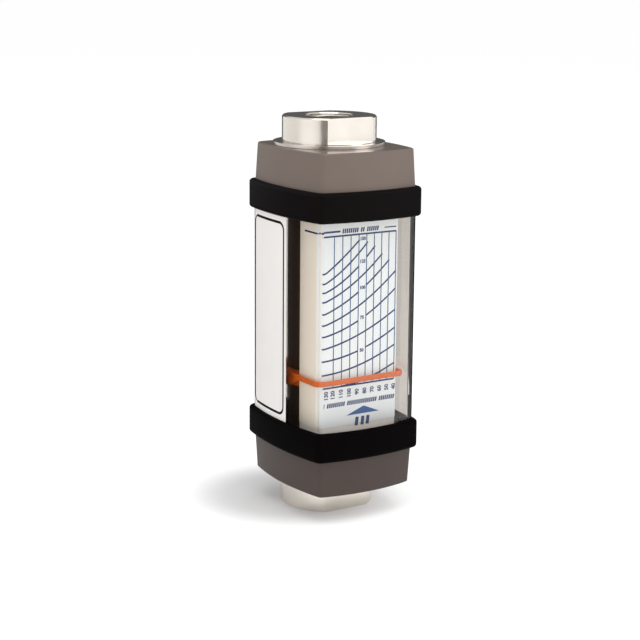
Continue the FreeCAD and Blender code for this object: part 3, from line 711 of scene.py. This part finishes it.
@dataclass
class Housing:
    """The turning housing: caps, bands, window, label, and the bracket with its film."""

    border_width: float = 1.1
    border_corner: float = 3.2
    corner_steps: int = 8
    border_front: float = 2.1
    border_back: float = 0.9
    border_end: float = 2.8
    label_ink: float = 0.012
    band_crease: float = 40.0
    level_face: float = 0.6
    inner_face: float = 0.5
    side_face: float = 0.9

    def build(self) -> None:
        """Dress the housing and print the label's border."""
        # The lower cap's nylon is painted darker than the upper one's: painted shade
        for end, nylon, top, rubber in (("lower", NYLON_PAINTED_SHADE, NYLON_SHELF_PAINTED_SHADE, RUBBER_DULL),
                                        ("upper", NYLON, NYLON_WORN, RUBBER)):
            cap = reseat(f"{end}_moulded_cap", f"{end}_end_cap", nylon, Body.HOUSING)
            reseat(f"{end}_rubber_band", f"{end}_seal_band", rubber, Body.HOUSING, self.band_crease)
            # On the lower cap these upward faces, its shelf inside the window, take painted shade; on the
            # upper cap a glossier finish
            refinish(cap, top, lambda face: face.normal.z > self.level_face)
        reseat("clear_window", "window", CLEAR, Body.HOUSING)
        label = reseat("left_label", "side_label", LABEL, Body.HOUSING)
        # The label's inward faces are painted dark: painted shade seen through the window
        refinish(label, LABEL_BACK_PAINTED_SHADE, lambda face: face.normal.x > self.inner_face)
        reseat("folded_bracket", "scale_bracket", SHEET, Body.HOUSING)
        film = reseat("chart_film", "flow_scale", FILM, Body.HOUSING)
        # The film's side flanges take a warmer copy of its colour: painted light
        refinish(film, FILM_FLANGE_PAINTED_LIGHT, lambda face: abs(face.normal.x) > self.side_face)
        self.print_border()

    def print_border(self) -> None:
        """Print the black line with round corners near the label's edge."""
        low, high = (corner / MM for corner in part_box("side_label"))
        front, back = low.y + self.border_front, high.y - self.border_back
        base, top = low.z + self.border_end, high.z - self.border_end
        radius, steps = self.border_corner, self.corner_steps
        line: list[Vector] = []
        for across, along, start in ((back, top, 0), (front, top, 90), (front, base, 180), (back, base, 270)):
            centre_y = across - math.copysign(radius, across - (front + back) / 2)
            centre_z = along - math.copysign(radius, along - (base + top) / 2)
            for step in range(steps + 1):
                angle = math.radians(start + 90 * step / steps)
                line.append(Vector((low.x, centre_y + radius * math.cos(angle),
                                    centre_z + radius * math.sin(angle))) * MM)
        line.append(line[0].copy())
        side = Print("side_label", Vector((1, 0, 0)), self.label_ink, Body.HOUSING)
        side.strokes("label_border", [line], self.border_width, INK_BLACK)


@dataclass(frozen=True)
class FlowLine:
    """One curve of the chart: its heights at the left, at the number column and at its right end."""

    left: float
    middle: float
    right: float
    end: float
    broken: bool = False


@dataclass
class FlowChart:
    """The print on the film: grid, curves, numbers, a pointing triangle and rows of plain ticks."""

    low: Vector = field(init=False)
    front: Print = field(init=False)
    right: float = field(init=False)
    first_line: float = -17.05
    line_step: float = 4.2
    line_shrink: float = 0.0385
    line_count: int = 10
    number_line: int = 4
    grid_top: float = 120.9
    grid_base: float = 57.25
    rule_left: float = -18.8
    ink: float = 0.012
    upright_width: float = 0.48
    curve_width: float = 0.72
    header: float = 122.8
    header_left: float = -10.0
    header_left_width: float = 0.81
    header_right: float = 11.8
    header_right_width: float = 0.528
    flange_span: tuple[float, float] = (-24.6, -14.0)
    flange_drop: float = 0.3
    flange_width: float = 0.765
    figure: float = 1.9
    foot_figure: float = 2.6
    foot_start: float = -16.2
    foot_shift: float = 0.1
    foot_drop: float = 3.3
    foot_first: int = 130
    foot_fall: int = 10
    curve_steps: int = 24
    curve_start: float = 1.8
    curve_bend: float = 0.18
    least_span: float = 1.0
    curves: tuple[FlowLine, ...] = (
        FlowLine(105.6, 118.6, 118.6, -0.5), FlowLine(101.5, 113.0, 117.4, 3.5),
        FlowLine(97.75, 107.5, 115.5, 7.2, True), FlowLine(93.8, 102.1, 111.85, 10.9),
        FlowLine(88.75, 96.6, 108.95, 14.4, True), FlowLine(84.05, 90.6, 103.9, 17.63),
        FlowLine(79.25, 84.4, 96.4, 17.63, True), FlowLine(74.1, 78.3, 87.3, 17.63),
        FlowLine(68.8, 71.5, 79.55, 17.63, True), FlowLine(62.95, 65.2, 72.2, 17.63),
    )
    last_curve: tuple[tuple[float, float], ...] = ((-8.7, 57.3), (0.2, 58.2), (9.7, 60.9), (17.63, 64.2))
    numbers: tuple[tuple[str, float], ...] = (("150", 118.9), ("125", 109.4), ("100", 98.3),
                                              ("75", 85.6), ("50", 71.6), ("25", 59.0))
    triangle: tuple[tuple[float, float], ...] = ((-6.3, 44.2), (10.4, 44.2), (2.5, 47.5))
    tick_rows: tuple[tuple[float, float, tuple[int, ...]], ...] = (
        (-8.6, 122.8, (8, 2, 6)), (-17.4, 49.6, (1, 9, 15, 8)))
    tick_step: float = 1.0
    tick_rise: float = 1.9
    tick_lean: float = 0.2
    bars: tuple[float, ...] = (-0.9, 2.0, 4.6)
    bar_base: float = 39.3
    bar_top: float = 43.0
    bar_width: float = 1.6

    def __post_init__(self) -> None:
        """Find the film's left front edge and the chart's right end, and make ready to print."""
        self.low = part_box("flow_scale")[0]
        self.right = self.column(self.line_count - 1)
        self.front = Print("flow_scale", Vector((0, 1, 0)), self.ink, Body.HOUSING)

    def column(self, index: int) -> float:
        """The place across the chart of an upright line."""
        return self.first_line + self.line_step * index - self.line_shrink * index ** 2

    def on_face(self, across: float, height: float) -> Vector:
        """A point just in front of the chart, from its place and height in millimetres."""
        return Vector((across * MM, self.low.y, height * MM))

    def level(self, start: float, end: float, height: float) -> list[Vector]:
        """A level stroke on the chart between two places."""
        return [self.on_face(start, height), self.on_face(end, height)]

    def build(self) -> None:
        """Print the chart on the film's front."""
        uprights = [[self.on_face(self.column(index), height) for height in (self.grid_base, self.grid_top)]
                    for index in range(1, self.line_count)]
        self.front.strokes("chart_uprights", uprights, self.upright_width, INK_PALE)
        rules = [self.level(self.rule_left, self.right, height) for height in (self.grid_top, self.grid_base)]
        self.front.strokes("chart_rules", rules, self.curve_width, INK_DARK)
        self.front.strokes("chart_curves", self.curve_lines(), self.curve_width, INK_DARK)
        self.print_header()
        self.print_numbers()
        self.front.field("flow_triangle", [self.on_face(*corner) for corner in self.triangle], INK_BLUE)
        self.print_ticks()

    def curve_lines(self) -> list[list[Vector]]:
        """The chart's curves as strokes, broken at the number column where a number stands in it.

        Returns:
            The strokes.
        """
        gap = (self.column(self.number_line), self.column(self.number_line + 1))
        start = self.first_line
        lines = []
        for curve in self.curves:
            run, steps = curve.end - start, self.curve_steps
            places = [start + run * step / steps for step in range(steps + 1)]
            pieces = [places]
            if curve.broken:
                pieces = [[place for place in places if place <= gap[0]] + [gap[0]],
                          [gap[1]] + [place for place in places if place >= gap[1]]]
            for piece in pieces:
                lines.append([self.on_face(place, self.height(curve, place)) for place in piece])
            lines.append(self.level(start - self.curve_start, start, curve.left))
        lines.append([self.on_face(*point) for point in self.last_curve])
        return lines

    def height(self, curve: FlowLine, across: float) -> float:
        """The height of a curve at a place across the chart, as a parabola through its three heights.

        Args:
            curve: The curve.
            across: The place.

        Returns:
            The height in millimetres.
        """
        start, middle, end = self.first_line, self.column(self.number_line), curve.end
        if abs(end - middle) < self.least_span:
            share = (across - start) / (end - start)
            bent = (1 - self.curve_bend) * share + self.curve_bend * share ** 2
            return curve.left + (curve.right - curve.left) * bent
        terms = ((start, curve.left), (middle, curve.middle), (end, curve.right))
        total = 0.0
        for here, value in terms:
            weight = value
            for there, _ in terms:
                if there != here:
                    weight *= (across - there) / (here - there)
            total += weight
        return total

    def print_header(self) -> None:
        """Print the header rule at both sides of its gap and on the left flange."""
        left_rule = self.level(self.rule_left, self.header_left, self.header)
        self.front.strokes("header_rule_left", [left_rule], self.header_left_width, INK_DARK)
        right_rule = self.level(self.header_right, self.right, self.header)
        self.front.strokes("header_rule_right", [right_rule], self.header_right_width, INK_DARK)
        side = Print("flow_scale", Vector((1, 0, 0)), self.ink, Body.HOUSING)
        height = (self.header - self.flange_drop) * MM
        flange = [Vector((self.low.x, place * MM, height)) for place in self.flange_span]
        side.strokes("flange_rule", [flange], self.flange_width, INK_DARK)

    def print_numbers(self) -> None:
        """Print the plain numbers in the column and under the grid."""
        middle = (self.column(self.number_line) + self.column(self.number_line + 1)) / 2
        column = [(words, self.on_face(middle, height), 0.0) for words, height in self.numbers]
        self.front.figures("column_numbers", column, self.figure, INK_DARK)
        foot = []
        for index in range(self.line_count):
            place = max(self.column(index) - self.foot_shift, self.foot_start)
            foot.append((str(self.foot_first - self.foot_fall * index),
                         self.on_face(place, self.grid_base - self.foot_drop), 90.0))
        self.front.figures("foot_numbers", foot, self.foot_figure, INK_DARK)

    def leaning(self, across: float, base: float, top: float) -> list[Vector]:
        """A nearly upright stroke that leans to the right like slanted print."""
        return [self.on_face(across - self.tick_lean, base), self.on_face(across + self.tick_lean, top)]

    def print_ticks(self) -> None:
        """Print groups of plain ticks in the header's gap and under the foot numbers, and three bars."""
        ticks = []
        half = self.tick_rise / 2
        for start, height, groups in self.tick_rows:
            across = start
            for count in groups:
                for _ in range(count):
                    ticks.append(self.leaning(across, height - half, height + half))
                    across += self.tick_step
                across += self.tick_step
        self.front.strokes("plain_ticks", ticks, self.curve_width, INK_DARK)
        bars = [self.leaning(across, self.bar_base, self.bar_top) for across in self.bars]
        self.front.strokes("plain_bars", bars, self.bar_width, INK_DARK)


@dataclass
class Indicator:
    """The orange follower with its magnet, and the piston that drives it."""

    edge_round: float = 0.4
    crease: float = 35.0

    def build(self) -> None:
        """Dress the follower and the piston."""
        reseat("orange_indicator", "indicator", ORANGE, Body.FOLLOWER, self.crease, self.edge_round)
        dress("follower_magnet", FERRITE)
        dress("orifice_piston", STAINLESS)
        dress("transfer_magnet", FERRITE)
        dress("magnet_clip", SPRING_STEEL)


@dataclass(frozen=True)
class Card:
    """An upright card of the studio, in metres from the meter as the camera sees it."""

    name: str
    paper: Paper
    behind: float
    across: tuple[float, float]
    rise: float
    hidden_from: tuple[str, ...] = ("camera", "transmission", "diffuse", "shadow")


@dataclass(frozen=True)
class Softbox:
    """A square lamp that points at the meter, in metres and watts."""

    name: str
    place: tuple[float, float, float]
    size: float
    power: float


@dataclass
class Studio:
    """The camera, the pale floor, the cards that reflections need, and the soft light."""

    distance: float = 689.4
    azimuth: float = 32.35
    height: float = 232.2
    pitch: float = 11.35
    roll: float = 0.53
    focal_pixels: float = 1642.9
    image_pixels: int = 640
    axis_pixel: tuple[float, float] = (327.8, 288.0)
    sensor: float = 36.0
    sight: float = 60.0
    floor_size: float = 14.0
    floor_colour: str = "#dedede"
    dark_colour: str = "#0c0a0a"
    floor_glow: float = 0.44
    # near_glow to shade_across: the floor's glow falls low round a point beside the meter's foot, a painted
    # shadow
    near_glow: float = 0.06
    near_reach: float = 0.024
    far_reach: float = 0.054
    shade_behind: float = 0.005
    shade_across: float = -0.017
    # dark_aside to dark_reach place a strip at each side where the floor is black to glossy rays: a painted
    # dark reflection
    dark_aside: float = 0.105
    dark_spread: float = 0.15
    dark_start: float = 0.05
    dark_skew: float = 0.1
    dark_reach: float = 0.95
    tent_level: float = 0.84
    dim_level: float = 0.1
    dim_azimuth: float = 212.0
    dim_rise: float = 18.0
    dim_core: float = 20.0
    dim_edge: float = 44.0
    cards: tuple[Card, ...] = (
        Card("card_by_the_camera", GREY_PAPER, -0.74, (-0.27, -0.03), 0.45, ("camera", "transmission")),
        Card("card_behind_on_the_left", BLACK_PAPER, 0.35, (-0.05, -0.2), 0.17),
        Card("card_behind_on_the_right", BLACK_PAPER, 0.35, (0.05, 0.2), 0.17),
    )
    softboxes: tuple[Softbox, ...] = (
        Softbox("right_softbox", (0.62, -0.75, 0.42), 0.6, 2.2),
        Softbox("left_softbox", (-1.0, -0.1, 0.45), 0.7, 1.2),
        Softbox("top_softbox", (-0.1, -0.25, 1.1), 0.8, 4.5),
    )
    aim_height: float = 0.09

    def build(self) -> None:
        """Make the camera, the floor, the cards and the lights."""
        self.make_camera()
        self.make_floor()
        self.make_cards()
        self.make_world()
        self.make_lights()

    def level_axes(self) -> tuple[Vector, Vector]:
        """The level directions away from the camera and to its right."""
        turn = math.radians(self.azimuth)
        return Vector((math.sin(turn), math.cos(turn), 0)), Vector((math.cos(turn), -math.sin(turn), 0))

    def make_camera(self) -> None:
        """Stand the camera where the photograph was taken from."""
        turn, dip, roll = (math.radians(angle) for angle in (self.azimuth, self.pitch, self.roll))
        back, right = self.level_axes()
        up = back * math.sin(dip) + UP * math.cos(dip)
        forward = back * math.cos(dip) - UP * math.sin(dip)
        rolled_right = right * math.cos(roll) + up * math.sin(roll)
        rolled_up = up * math.cos(roll) - right * math.sin(roll)
        data = bpy.data.cameras.new("camera")
        data.sensor_width = self.sensor
        data.sensor_fit = "HORIZONTAL"
        data.lens = self.focal_pixels / self.image_pixels * self.sensor
        data.shift_x = 0.5 - self.axis_pixel[0] / self.image_pixels
        data.shift_y = self.axis_pixel[1] / self.image_pixels - 0.5
        data.clip_end = self.sight
        data.dof.use_dof = False
        camera = linked("camera", data)
        place = Vector((-math.sin(turn) * self.distance, -math.cos(turn) * self.distance, self.height)) * MM
        rotation = Matrix((rolled_right, rolled_up, -forward)).transposed().to_4x4()
        camera.matrix_world = Matrix.Translation(place) @ rotation
        bpy.context.scene.camera = camera

    def place_sheet(self, name: str, corners: Sequence[tuple[float, float, float]],
                    material: bpy.types.Material, hidden_from: Sequence[str] = ()) -> None:
        """Put one flat sheet of the studio in its place.

        Args:
            name: The sheet's name.
            corners: Its corners in order: behind the meter, to the camera's right, and up, in metres.
            material: Its surface.
            hidden_from: The kinds of ray that pass it.
        """
        back, right = self.level_axes()
        mesh = bpy.data.meshes.new(name)
        spots = [back * behind + right * across + UP * rise for behind, across, rise in corners]
        mesh.from_pydata(spots, [], [tuple(range(len(spots)))])
        mesh.materials.append(material)
        sheet = linked(name, mesh)
        for kind in hidden_from:
            setattr(sheet, f"visible_{kind}", False)

    def floor_material(self) -> bpy.types.Material:
        """Make the floor's surface: white acrylic, lit from below, with a painted shadow round the meter's
        foot, painted dark reflections at the sides, and painted shade where it is seen through the window.

        Returns:
            The material.
        """
        material, tree = blank_material("lit_white_acrylic_with_painted_shadow")
        material.cycles.emission_sampling = "NONE"
        back, right = self.level_axes()
        where = add_node(tree, "ShaderNodeTexCoord")["Object"]
        ray = add_node(tree, "ShaderNodeLightPath")
        found = {"glossy": ray["Is Glossy Ray"], "passing": ray["Is Transmission Ray"]}
        # Round this point beside the meter's foot the glow falls low: a painted shadow
        middle = back * self.shade_behind + right * self.shade_across
        for name, operation, other in (("away", "DISTANCE", middle), ("behind", "DOT_PRODUCT", back),
                                       ("across", "DOT_PRODUCT", right)):
            found[name] = add_node(tree, "ShaderNodeVectorMath", {0: where, 1: other},
                                   operation=operation)["Value"]
        found["lit"] = add_node(tree, "ShaderNodeMapRange", {
            "Value": found["away"], "From Min": self.near_reach, "From Max": self.far_reach,
            "To Min": self.near_glow, "To Max": self.floor_glow}, interpolation_type="SMOOTHSTEP")[0]
        # At each side a strip is black to glossy rays, a painted dark reflection; rays through the window see
        # no glow, a painted shade
        for name, operation, parts in (
                ("beside", "ABSOLUTE", ("across",)),
                ("aside", "MULTIPLY_ADD", ("behind", -self.dark_spread, "beside")),
                ("side", "SIGN", ("across",)),
                ("onward", "MULTIPLY_ADD", ("side", -self.dark_skew, "behind")),
                ("wide", "GREATER_THAN", ("aside", self.dark_aside)),
                ("far_enough", "GREATER_THAN", ("onward", -self.dark_start)),
                ("near_enough", "LESS_THAN", ("away", self.dark_reach)),
                ("strip", "MULTIPLY", ("wide", "far_enough")),
                ("patch", "MULTIPLY", ("strip", "near_enough")),
                ("dark", "MULTIPLY", ("patch", "glossy")),
                ("unlit", "MAXIMUM", ("dark", "passing")),
                ("shining", "SUBTRACT", (1.0, "unlit")),
                ("glow", "MULTIPLY", ("lit", "shining"))):
            values = {index: found.get(part, part) for index, part in enumerate(parts)}
            found[name] = add_node(tree, "ShaderNodeMath", values, operation=operation)[0]
        colour = add_node(tree, "ShaderNodeMix", {"Factor": found["dark"], "A": linear(self.floor_colour),
                                                  "B": linear(self.dark_colour)}, data_type="RGBA")
        skin = add_node(tree, "ShaderNodeBsdfPrincipled",
                        {"Base Color": colour["Result"], "Roughness": 0.9, "IOR": 1.1,
                         "Emission Color": linear("#ffffff"), "Emission Strength": found["glow"]})
        add_node(tree, "ShaderNodeOutputMaterial", {"Surface": skin["BSDF"]})
        return material

    def make_floor(self) -> None:
        """Lay the white floor, lit from below, that the meter stands on."""
        size = self.floor_size
        corners = ((-size, -size, 0), (-size, size, 0), (size, size, 0), (size, -size, 0))
        self.place_sheet("white_floor", corners, self.floor_material())

    def make_cards(self) -> None:
        """Set cards that show only in reflections, so that glossy faces have something dark to reflect."""
        for card in self.cards:
            first, last = card.across
            corners = [(card.behind, across, rise) for across, rise in (
                (first, 0.0), (last, 0.0), (last, card.rise), (first, card.rise))]
            self.place_sheet(card.name, corners, material_of(card.paper), card.hidden_from)

    def make_world(self) -> None:
        """Light the scene from a white tent, whose light is dimmer low behind the meter."""
        world = bpy.data.worlds.new("tent")
        world.use_nodes = True
        tree = world.node_tree
        tree.nodes.clear()
        where = add_node(tree, "ShaderNodeTexCoord")["Generated"]
        turn, tilt = math.radians(self.dim_azimuth), math.radians(self.dim_rise)
        toward = (-math.sin(turn) * math.cos(tilt), -math.cos(turn) * math.cos(tilt), math.sin(tilt))
        facing = add_node(tree, "ShaderNodeVectorMath", {0: where, 1: toward}, operation="DOT_PRODUCT")
        level = add_node(tree, "ShaderNodeMapRange",
                         {"Value": facing["Value"], "From Min": math.cos(math.radians(self.dim_edge)),
                          "From Max": math.cos(math.radians(self.dim_core)), "To Min": self.tent_level,
                          "To Max": self.dim_level}, interpolation_type="SMOOTHSTEP")
        ray = add_node(tree, "ShaderNodeLightPath")
        seen = add_node(tree, "ShaderNodeMath", {0: level["Result"], 1: ray["Is Camera Ray"]},
                        operation="MAXIMUM")
        light = add_node(tree, "ShaderNodeBackground",
                         {"Color": linear("#ffffff"), "Strength": seen[0]})
        add_node(tree, "ShaderNodeOutputWorld", {"Surface": light["Background"]})
        bpy.context.scene.world = world
        bpy.context.scene.view_settings.view_transform = "Standard"

    def make_lights(self) -> None:
        """Hang three softboxes: one to each side of the camera and one above."""
        for box in self.softboxes:
            data = bpy.data.lights.new(box.name, "AREA")
            data.shape = "SQUARE"
            data.size = box.size
            data.energy = box.power
            lamp = linked(box.name, data)
            aim = UP * self.aim_height - Vector(box.place)
            lamp.location = box.place
            lamp.rotation_euler = aim.to_track_quat("-Z", "Y").to_euler()


def main() -> None:
    """Build the meter's looks in order, then the studio round it."""
    logging.basicConfig(level=logging.INFO, format="%(name)s: %(message)s")
    for part in (ThreadedCasing(), Housing(), FlowChart(), Indicator(), Studio()):
        part.build()


if __name__ == "__main__":
    main()
